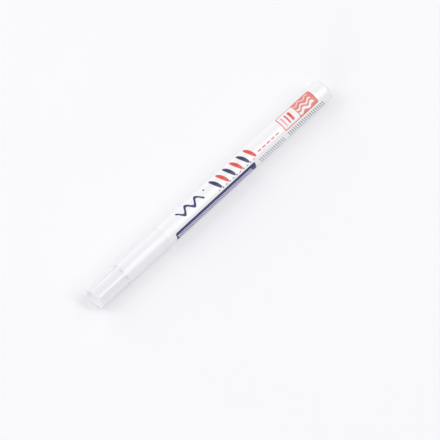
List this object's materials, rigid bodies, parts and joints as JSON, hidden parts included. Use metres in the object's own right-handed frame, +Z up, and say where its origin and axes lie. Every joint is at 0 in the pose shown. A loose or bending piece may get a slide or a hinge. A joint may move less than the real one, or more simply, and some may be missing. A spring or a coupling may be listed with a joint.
{
  "type": "paint marker",
  "caption": "Slim round valve-action paint marker with a pull-off cap fluted at its end, a sprung nib and valve, and a loose mixing ball in a closed barrel.",
  "frame": {"origin": "on the surface that the marker lies on, under the middle of its length", "axes": "+X along the marker's axis from the cap's closed end to the tail, +Z up"},
  "size_m": [0.134, 0.01, 0.01],
  "materials": {
    "cap_plastic": "smooth moulded white",
    "seal_plastic": "soft natural polythene",
    "barrel_plastic": "smooth moulded white, printed",
    "nose_plastic": "smooth moulded white",
    "nib_fibre": "bonded fibre, white with paint",
    "seat_rubber": "soft black",
    "valve_plastic": "natural moulded",
    "spring_steel": "drawn wire",
    "ball_steel": "polished"
  },
  "bodies": {
    "pen": {"barrel": "barrel_plastic", "front_section": "nose_plastic", "valve_seat": "seat_rubber", "valve_cage": "valve_plastic", "valve_spring": "spring_steel"},
    "cap": {"cap_shell": "cap_plastic", "inner_cap": "seal_plastic"},
    "nib": {"nib": "nib_fibre", "valve_stem": "valve_plastic"},
    "ball": {"mixing_ball": "ball_steel"}
  },
  "joints": [
    {"name": "cap_pull", "type": "slide", "parent": "pen", "child": "cap", "axis": [-1, 0, 0], "range_m": [0, 0.04]},
    {"name": "nib_press", "type": "slide", "parent": "pen", "child": "nib", "axis": [1, 0, 0], "range_m": [0, 0.0018], "stiffness_N_per_m": 300, "springref_m": -0.003, "deforming": ["valve_spring"]},
    {"name": "ball_roll", "type": "slide", "parent": "pen", "child": "ball", "axis": [1, 0, 0], "range_m": [-0.032, 0.032]}
  ]
}
